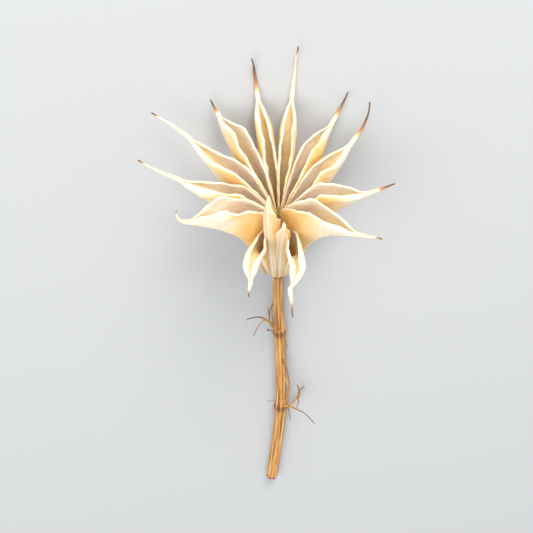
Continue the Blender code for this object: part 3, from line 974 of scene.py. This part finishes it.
    def gold(self, n: int, station: Station, cut: Section, out: float, across: float) -> float:
        """How golden the wall is, mostly as painted shade: pale on rims and ribs, gold in grooves,
        between follicles and low inside each follicle, amber in the deepest hollows.

        Args:
            n: the follicle's number.
            station: the zone, side and place in the zone.
            cut: the section.
            out: the point's distance from the pod's axis.
            across: its distance from the follicle's middle plane.

        Returns:
            The attribute "gold": 0 where the wall is palest and 1 where it is amber.
        """
        zone, side, t = station
        # Painted shade: golder towards the pod's base.
        base_shade = 0.45 * (1.0 - smooth_step(0.02, 0.3, cut.share))
        if zone is Zone.RIM:
            # Painted shade: rims are golder low in the pod; along the free rims, random dry patches
            # are the wall's own tone.
            dry_edge = 0.20 * smooth_step(-0.1, 0.5, wander(n * 2 + side + 300, cut.share * 14.0))
            return 0.10 + 0.48 * (1.0 - cut.free) + dry_edge * cut.free
        if zone is Zone.KEEL:
            # Painted shade: gold in the keel's grooves, pale on its ribs, and golder near the base.
            groove_shade = 1.0 - bump_at(t, 0.0, 0.3) - bump_at(t, 1.0, 0.22)
            return max(0.0, 0.06 + 0.42 * groove_shade) + 0.5 * base_shade
        if zone is Zone.OUTER_WALL:
            # Painted shade: gold where the wall comes close to its neighbour, in a line beside the
            # side rib, and near the base.
            clearance = self.room_beside(n, side, out, cut.share) - across
            shade_between = 1.0 - smooth_step(-0.05 * MM, 2.2 * MM, clearance)
            edge = 0.16 * bump_at(t, 0.07, 0.05)
            return 0.04 + 0.64 * shade_between + edge + base_shade * 0.6
        # Painted shade: golder low inside each follicle.
        hollow_shade = 1.0 - smooth_step(0.28, 0.62, cut.share)
        if zone is Zone.INNER_WALL:
            # Painted shade: the inner wall turns golder from the rim down to the floor.
            return 0.02 + 0.36 * (1.0 - smooth_step(0.0, 0.62, t)) + 0.36 * hollow_shade
        # Painted shade: the follicle's floor is gold, and golder low in the pod.
        return 0.50 + 0.34 * hollow_shade

    def beak_path(self, n: int) -> list[tuple[Vector, Vector, Vector]]:
        """Follows a beak from the tip of its follicle.

        Args:
            n: the follicle's number.

        Returns:
            For each ring the middle, the direction away from the axis and the direction across.
        """
        follicle = self.follicles[n]
        tip = self.keel_at(n, 1.0)
        tilt = tip.angle
        inward = self.placed(n, 1.0, -math.cos(tilt), 0.0, math.sin(tilt))
        middle = self.placed(n, 1.0, tip.radius, 0.0, tip.height) + inward * self.tip_depth / 2
        rings = []
        for i in range(1, self.beak_rings + 1):
            share = (i - 0.5) / self.beak_rings
            lean = tilt - math.radians(follicle.curl) * share
            sway = math.radians(follicle.sway) * share + 0.10 * wander(n + 150, share * 4.0)
            flat = math.cos(sway)
            out, up = math.sin(lean) * flat, math.cos(lean) * flat
            along = self.placed(n, 1.0, out, math.sin(sway), up)
            across = self.placed(n, 1.0, 0.0, 1.0, 0.0)
            across = (across - along * across.dot(along)).normalized()
            outward = self.placed(n, 1.0, math.cos(lean), 0.0, -math.sin(lean))
            lengthways = along * outward.dot(along)
            outward = (outward - lengthways - across * outward.dot(across)).normalized()
            middle = middle + along * follicle.beak * MM / self.beak_rings
            rings.append((middle, outward, across))
        return rings

    def beak_point(
        self, n: int, station: Station, ring: int, path: list[tuple[Vector, Vector, Vector]]
    ) -> SurfacePoint:
        """The surface point at a station of a ring of a follicle's beak.

        Args:
            n: the follicle's number.
            station: the zone, side and place in the zone.
            ring: the ring's number, from the beak's root.
            path: the beak's path.

        Returns:
            The point, on the upright pod.
        """
        follicle = self.follicles[n]
        middle, outward, across = path[ring]
        share = (ring + 1) / self.beak_rings
        turn = self.beak_turn(station)
        size = mix(self.beak_root, self.beak_end, smooth_step(0.0, 0.9, share) ** 0.7)
        size *= 1.0 + 0.10 * math.cos(3.0 * turn) * (1.0 - share)
        if ring == self.beak_rings - 1:
            size = 0.0
        place = middle + outward * size * math.cos(turn) + across * size * math.sin(turn)
        brown = smooth_step(1.0 - follicle.burnt * 1.05, 1.15 - follicle.burnt * 0.35, share)
        brown = min(1.0, brown + 0.5 * smooth_step(0.8, 1.0, share) + 0.12)
        unrolled = (turn * self.beak_root / MM, follicle.length + follicle.beak * share)
        burnt = brown * smooth_step(0.0, 0.15, share)
        return SurfacePoint(place, unrolled, (self.beak_gold, burnt))

    def ring_shares(self, n: int) -> list[float]:
        """Shares of the length for the body's rings, closer together from the corner to the tip."""
        corner = self.follicles[n].corner - 0.05
        dense = self.body_rings // 3
        sparse = self.body_rings - dense
        shares = [corner * i / sparse for i in range(sparse)]
        return shares + [mix(corner, 1.0, i / dense) for i in range(dense + 1)]

    def build_follicle(self, n: int, material: Material) -> Object:
        """Builds one follicle with its beak as a closed papery shell.

        Args:
            n: the follicle's number, from 0.
            material: the capsule wall's material.

        Returns:
            The finished piece.
        """
        cuts = [self.section(n, s) for s in self.ring_shares(n)]
        path = self.beak_path(n)
        placing = self.placing
        root = self.placed(n, 0.0, 0.6 * MM, 0.0, 0.4 * MM)

        def rule(i: int, k: int) -> SurfacePoint:
            """The surface point at station i of ring k: pointed at the root, flat where it lies."""
            station = self.stations[i]
            if k == 0:
                # The root point's gold value of 0.6 is painted shade at the pod's base.
                point = SurfacePoint(root, (0.0, 0.0), (0.6, 0.0))
            elif k <= len(cuts):
                point = self.body_point(n, station, cuts[k - 1])
            else:
                point = self.beak_point(n, station, k - len(cuts) - 1, path)
            place = placing @ point.place
            place.z = max(place.z, 0.0)
            return SurfacePoint(place, point.unrolled, point.values)

        sheet = MappedSheet(("gold", "beak"))
        sheet.add(len(self.stations) - 1, len(cuts) + self.beak_rings, rule)
        return sheet.finish(f"follicle_{n + 1:02d}", material)

    def build_receptacle(self, material: Material) -> Object:
        """Builds the boss under the follicles, with the scars that petals and stamens left.

        Args:
            material: the capsule wall's material.

        Returns:
            The finished piece.
        """
        # Radius and height in millimetres, from the stem up into the pod.
        profile = (
            *((0.94, -1.62), (1.08, -1.45), (1.20, -1.22), (1.16, -0.98), (1.28, -0.80)),
            *((1.36, -0.55), (1.30, -0.30), (1.38, -0.05), (1.42, 0.35), (1.36, 0.9), (1.10, 2.4)),
        )
        rings, sides, scar_depth = len(profile), 56, 0.05
        placing = self.placing

        def rule(i: int, k: int) -> SurfacePoint:
            """The surface point at side i of ring k, with both ends drawn to the axis."""
            turn = 2.0 * math.pi * i / sides
            radius, height = profile[min(max(k - 1, 0), rings - 1)]
            scarred = max(0.0, math.cos(9.0 * turn + (height > -0.7) * 1.1))
            scar = scar_depth * scarred * (-1.3 < height < 0.2)
            radius = 0.0 if k in (0, rings + 1) else radius + scar
            place = Vector((radius * math.cos(turn), radius * math.sin(turn), height)) * MM
            tone = 0.55 + 0.35 * (1.0 - scar / scar_depth) * (-1.5 < height < -0.2)
            return SurfacePoint(placing @ place, (turn * 1.2, height), (tone, 0.0))

        sheet = MappedSheet(("gold", "beak"))
        sheet.add(sides, rings + 1, rule)
        return sheet.finish("receptacle", material)

    def build(self) -> None:
        """Builds and registers every piece of the pod."""
        material = BleachedCapsuleWall().make()
        pieces = [self.build_follicle(n, material) for n in range(len(self.follicles))]
        pieces.append(self.build_receptacle(material))
        for piece in pieces:
            register(piece, Node.CAPSULE, Slot.PAPERY_WALL)


@dataclass(frozen=True)
class Thread:
    """One thread of a withered leaf.

    length is in millimetres. spread is its angle from the stem's direction and around its angle
    round the stem. curl is how far it bends. All angles are in degrees.
    """

    length: float
    spread: float
    around: float
    curl: float


@dataclass(frozen=True)
class Leaf:
    """A withered leaf at a node: its share of the way down the stem, and its threads."""

    share: float
    threads: tuple[Thread, ...]


UPPER_THREADS = (
    Thread(9, 150, 20, 80),
    Thread(12, 160, 48, -55),
    Thread(7, 130, 70, 60),
    Thread(10, 145, 100, -85),
)
LOWER_THREADS = (
    Thread(14, 152, 150, 70),
    Thread(11, 132, 128, -60),
    Thread(8, 118, 172, 95),
    Thread(12, 148, 100, -75),
)
LEAVES = (Leaf(0.30, UPPER_THREADS), Leaf(0.64, LOWER_THREADS))


@dataclass
class Stem:
    """The ribbed stem with its nodes, its cut end and its two withered leaves.

    It leaves the pod straight, then follows route, whose places are measured from the pod's base
    along x and y and from where the stem lies. flat is how much of its lowest rib is worn flat.
    """

    base: tuple[float, float, float]
    placing: Matrix
    leaves: tuple[Leaf, ...] = LEAVES
    top_height: float = -1.55 * MM
    straight: float = 3.0 * MM
    radius: float = 0.84 * MM
    top_radius: float = 1.02 * MM
    foot_radius: float = 0.98 * MM
    flare: float = 2.5 * MM
    ribs: int = 8
    rib_share: float = 0.10
    rib_crest: float = 1.11
    flat: float = 0.16 * MM
    spacing: float = 0.35 * MM
    sides: int = 96
    node_swell: float = 0.24 * MM
    node_length: float = 1.6 * MM
    thread_root: float = 0.32 * MM
    thread_end: float = 0.09 * MM
    thread_rings: int = 36
    thread_sides: int = 10
    side_length: float = 0.42
    side_spread_deg: float = 38.0
    side_turn_deg: float = 70.0
    side_curl: float = -0.7
    side_girth: float = 0.5
    route: tuple[tuple[float, float, float], ...] = (
        (0.1 * MM, -11.5 * MM, 0.30 * MM),
        (0.5 * MM, -22.0 * MM, 0.20 * MM),
        (0.7 * MM, -36.0 * MM, 0.25 * MM),
        (0.0 * MM, -46.0 * MM, 0.10 * MM),
        (-1.0 * MM, -56.0 * MM, 0.0 * MM),
    )

    def path(self) -> list[Vector]:
        """Runs a smooth curve through the stem's knots.

        Returns:
            Points down the middle of the stem, from the pod to the cut end.
        """
        top = self.placing @ Vector((0.0, 0.0, self.top_height))
        down = (self.placing.to_3x3() @ Vector((0.0, 0.0, -1.0))).normalized()
        lying = self.foot_radius * self.rib_crest - self.flat
        knots = [top, top + down * self.straight]
        knots += [Vector((self.base[0] + x, self.base[1] + y, lying + z)) for x, y, z in self.route]
        ends = [knots[0] * 2 - knots[1], *knots, knots[-1] * 2 - knots[-2]]
        points = [knots[0]]
        for a, b, c, d in zip(ends, ends[1:], ends[2:], ends[3:]):
            steps = max(1, round((c - b).length / self.spacing))
            for i in range(1, steps + 1):
                t = i / steps
                bend = (2 * a - 5 * b + 4 * c - d) * t**2 + (3 * b - a - 3 * c + d) * t**3
                points.append(0.5 * (2 * b + (c - a) * t + bend))
        return points

    def radius_at(self, distance: float, total: float) -> float:
        """The stem's radius, flared at the pod and swollen at each node.

        Args:
            distance: how far down the stem from the pod.
            total: the stem's length.

        Returns:
            The radius in metres, without the ribs.
        """
        radius = mix(self.radius, self.foot_radius, smooth_step(0.0, 0.8 * total, distance))
        radius = mix(self.top_radius, radius, smooth_step(0.0, self.flare, distance))
        for leaf in self.leaves:
            radius += self.node_swell * bump_at(distance, leaf.share * total, self.node_length)
        return radius

    def rib_at(self, turn: float, distance: float) -> float:
        """The rind's relief.

        Args:
            turn: the angle round the stem.
            distance: how far down the stem from the pod.

        Returns:
            About 1 on a rib and -1 in a furrow.
        """
        wave = math.cos(self.ribs * turn + 0.25 * wander(7.0, distance / MM * 0.12))
        x, y = 6.0 * math.cos(turn) + distance / MM * 0.25, 6.0 * math.sin(turn)
        fine = 0.22 * wander(11.0, x, y)
        return 1.0 - 2.0 * ((1.0 - wave) / 2.0) ** 0.72 + fine

    def build_stalk(self, points: list[Vector], material: Material) -> Object:
        """Builds the ribbed rind, closed at the top and just inside the cut end.

        Args:
            points: the middle of the stem.
            material: the rind's material.

        Returns:
            The finished piece.
        """
        distances = [0.0]
        for before, after in zip(points, points[1:]):
            distances.append(distances[-1] + (after - before).length)
        total = distances[-1]
        last = len(points) - 1

        def rule(i: int, k: int) -> SurfacePoint:
            """The surface point at side i of ring k, with both ends drawn to the middle."""
            at = min(max(k - 1, 0), last)
            along = (points[min(at + 1, last)] - points[max(at - 1, 0)]).normalized()
            level, up = square_to(along)
            turn = 2.0 * math.pi * i / self.sides - math.pi / 2
            rib = self.rib_at(turn + math.pi / 2, distances[at])
            size = self.radius_at(distances[at], total) * (1.0 + self.rib_share * rib)
            size *= 0.0 if k in (0, last + 2) else 1.0
            place = points[at] + level * size * math.cos(turn) + up * size * math.sin(turn)
            place.z = max(place.z, 0.0)
            furrow = 0.26 + 0.34 * (1.0 - rib) / 2.0
            for leaf in self.leaves:
                furrow += 0.35 * bump_at(distances[at], leaf.share * total, 0.7 * MM)
            furrow += 0.3 * (1.0 - smooth_step(0.0, 1.2 * MM, distances[at]))
            furrow += 0.4 * smooth_step(total - 0.5 * MM, total, distances[at])
            unrolled = (self.radius / MM * turn, distances[at] / MM)
            return SurfacePoint(place, unrolled, (furrow, 0.0))

        sheet = MappedSheet(("furrow", "withered"))
        sheet.add(self.sides, last + 2, rule)
        return sheet.finish("stem_rind", material)

    def build_cut(self, points: list[Vector], material: Material) -> Object:
        """Builds the snipped end: a thin dished disc of pith inside a raised ring of fibres.

        Args:
            points: the middle of the stem.
            material: the pith's material.

        Returns:
            The finished piece.
        """
        end = points[-1]
        along = (points[-1] - points[-2]).normalized()
        level, up = square_to(along)
        rings, sides = 10, 64
        rim = self.foot_radius * (1.0 - self.rib_share) * 0.96

        def rule(i: int, k: int) -> SurfacePoint:
            """The surface point at side i of ring k, from the buried back to the disc's middle."""
            turn = 2.0 * math.pi * i / sides
            share = 1.0 - max(0, k - 2) / (rings - 2)
            size = rim * (0.0 if k == 0 else share if k > 2 else 1.0)
            ring = bump_at(share, 0.84, 0.10)
            lift = -0.25 * MM if k < 2 else 0.04 * MM * ring - 0.05 * MM * (1.0 - share) ** 0.5
            if k > 0:
                x, y = math.cos(turn) * share * 5.0, math.sin(turn) * share * 5.0
                lift += 0.02 * MM * wander(5.0, x, y)
            middle = end + along * (lift + 0.02 * MM)
            place = middle + level * size * math.cos(turn) + up * size * math.sin(turn)
            furrow = 0.9 * ring + 0.3 * bump_at(share, 1.0, 0.05)
            return SurfacePoint(place, (turn, share), (furrow, 0.0))

        sheet = MappedSheet(("furrow", "withered"))
        sheet.add(sides, rings, rule)
        return sheet.finish("stem_cut_end", material)

    def add_thread(
        self,
        sheet: MappedSheet,
        root: Vector,
        along: Vector,
        thread: Thread,
        size: float,
        seed: float,
    ) -> list[tuple[Vector, Vector]]:
        """Adds one withered thread to a leaf.

        Args:
            sheet: the leaf's mesh.
            root: where the thread starts.
            along: the direction that its spread is measured from.
            thread: its length and angles.
            size: its radius at the root.
            seed: picks its small wanderings.

        Returns:
            The middle and direction at each ring.
        """
        level, up = square_to(along)
        around = math.radians(thread.around)
        aside = level * math.cos(around) + up * math.sin(around)
        square = along.cross(aside).normalized()
        spots = [(root + aside * size * 0.5, along)]
        for i in range(1, self.thread_rings + 1):
            share = (i - 0.5) / self.thread_rings
            angle = math.radians(thread.spread + thread.curl * share**1.5)
            angle += 0.3 * wander(seed, share * 5.0)
            astray = 0.25 * wander(seed + 3, share * 4.0)
            heading = along * math.cos(angle) + aside * math.sin(angle) + square * astray
            heading.normalize()
            spot = spots[-1][0] + heading * thread.length * MM / self.thread_rings
            spot.z = max(spot.z, size + self.flat)
            spots.append((spot, heading))

        def rule(i: int, k: int) -> SurfacePoint:
            """The surface point at side i of ring k, with the tip drawn to a point."""
            middle, heading = spots[k]
            turn = 2.0 * math.pi * i / self.thread_sides
            sideways = heading.cross(square).normalized()
            other = sideways.cross(heading).normalized()
            share = k / self.thread_rings
            girth = 0.0 if k in (0, self.thread_rings) else mix(size, self.thread_end, share**0.6)
            flatness = mix(1.0, 0.6, smooth_step(0.0, 0.3, share))
            place = middle + sideways * girth * math.cos(turn)
            place += other * girth * flatness * math.sin(turn)
            dark = smooth_step(0.35, 1.0, share) * 0.8
            unrolled = (turn * size / MM, share * thread.length)
            return SurfacePoint(place, unrolled, (0.35 + 0.3 * share, dark))

        sheet.add(self.thread_sides, self.thread_rings, rule)
        return spots

    def build_leaf(
        self, number: int, points: list[Vector], material: Material
    ) -> Object:
        """Builds one withered leaf: its threads, each with a finer side thread.

        Args:
            number: the leaf's number, from 0.
            points: the middle of the stem.
            material: the rind's material.

        Returns:
            The finished piece.
        """
        leaf = self.leaves[number]
        total = sum((after - before).length for before, after in zip(points, points[1:]))
        gone, at = 0.0, 0
        while gone < leaf.share * total:
            gone += (points[at + 1] - points[at]).length
            at += 1
        along = (points[at + 1] - points[at - 1]).normalized()
        sheet = MappedSheet(("furrow", "withered"))
        for k, thread in enumerate(leaf.threads):
            seed = number * 10.0 + k
            spots = self.add_thread(sheet, points[at], along, thread, self.thread_root, seed)
            middle, heading = spots[self.thread_rings // 2]
            side = Thread(
                length=thread.length * self.side_length,
                spread=self.side_spread_deg,
                around=thread.around + self.side_turn_deg,
                curl=thread.curl * self.side_curl,
            )
            girth = self.thread_root * self.side_girth
            self.add_thread(sheet, middle, heading, side, girth, seed + 0.5)
        return sheet.finish(f"withered_leaf_{number + 1}", material)

    def build(self) -> None:
        """Builds and registers every piece of the stem."""
        rind = DryStraw().make()
        points = self.path()
        pieces = [self.build_stalk(points, rind), self.build_cut(points, CutPith().make())]
        pieces += [self.build_leaf(number, points, rind) for number in range(len(self.leaves))]
        for piece in pieces:
            register(piece, Node.STEM, Slot.DRY_STEM)


@dataclass(frozen=True)
class SoftLight:
    """A square studio light. Its place and aim are in the image's own directions, in metres.

    right, up and near are measured from the subject: to the right of the picture, up it, and out
    of it towards the camera.
    """

    name: str
    right: float
    up: float
    near: float
    size: float
    watts: float
    colour: str


@dataclass
class Studio:
    """The pale floor, the soft lights and the camera, which looks down into the pod's mouth."""

    elevation_deg: float = 51.0
    distance: float = 0.272
    focal_mm: float = 105.0
    target: tuple[float, float, float] = (0.0, 6.6 * MM, 4.4 * MM)
    floor_size: float = 3.0
    floor_drop: float = 0.01 * MM
    lowest_lamp: float = 0.12
    surround: str = "#FDFEFF"
    surround_strength: float = 0.90
    lights: tuple[SoftLight, ...] = (
        SoftLight("window", 0.10, 0.24, 0.54, 0.26, 5.1, "#FFFAF3"),
        SoftLight("fill", -0.26, -0.30, 0.46, 0.50, 2.5, "#FFFCF7"),
    )

    def image_axes(self) -> tuple[Vector, Vector, Vector]:
        """The picture's right and up directions, and the direction out of it to the camera."""
        rise = math.radians(self.elevation_deg)
        near = Vector((0.0, math.cos(rise), math.sin(rise)))
        up = Vector((0.0, math.sin(rise), -math.cos(rise)))
        return up.cross(near).normalized(), up, near

    def build_floor(self) -> None:
        """Lays the floor just under the part."""
        mesh = bmesh.new()
        bmesh.ops.create_grid(mesh, x_segments=1, y_segments=1, size=self.floor_size / 2)
        bmesh.ops.translate(mesh, verts=mesh.verts, vec=(0.0, 0.0, -self.floor_drop))
        data = bpy.data.meshes.new("floor")
        mesh.to_mesh(data)
        mesh.free()
        data.materials.append(MattPaintedBoard().make())
        add_object("floor", data)

    def build_camera(self) -> None:
        """Places the camera, turned so that the stem points down the picture."""
        right, up, near = self.image_axes()
        data = bpy.data.cameras.new("camera")
        data.lens = self.focal_mm
        data.clip_start = 0.01
        camera = add_object("camera", data)
        turned = Matrix((right, up, near)).transposed().to_4x4()
        place = Vector(self.target) + near * self.distance
        camera.matrix_world = Matrix.Translation(place) @ turned
        bpy.context.scene.camera = camera

    def build_lights(self) -> None:
        """Hangs the lights, each aimed at the subject."""
        right, up, near = self.image_axes()
        for light in self.lights:
            data = bpy.data.lights.new(light.name, "AREA")
            data.size = light.size
            data.energy = light.watts
            data.color = linear(light.colour)[:3]
            offset = right * light.right + up * light.up + near * light.near
            offset.z = max(offset.z, self.lowest_lamp)
            turned = offset.to_track_quat("Z", "Y").to_matrix().to_4x4()
            place = Matrix.Translation(Vector(self.target) + offset)
            add_object(light.name, data).matrix_world = place @ turned

    def build_world(self) -> None:
        """Fills the studio with even white light."""
        world = bpy.data.worlds.new("studio")
        world.use_nodes = True
        settings = {"Color": linear(self.surround), "Strength": self.surround_strength}
        set_up(world.node_tree, world.node_tree.nodes["Background"], settings, {})
        bpy.context.scene.world = world

    def build(self) -> None:
        """Builds the studio round the part."""
        self.build_floor()
        self.build_camera()
        self.build_lights()
        self.build_world()
        bpy.context.scene.view_settings.view_transform = "Standard"


def main() -> None:
    """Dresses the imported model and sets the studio."""
    logging.basicConfig(level=logging.INFO, format="%(name)s %(message)s")
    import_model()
    capsule = Capsule()
    capsule.build()
    Stem(base=capsule.base, placing=capsule.placing).build()
    Studio().build()


if __name__ == "__main__":
    main()
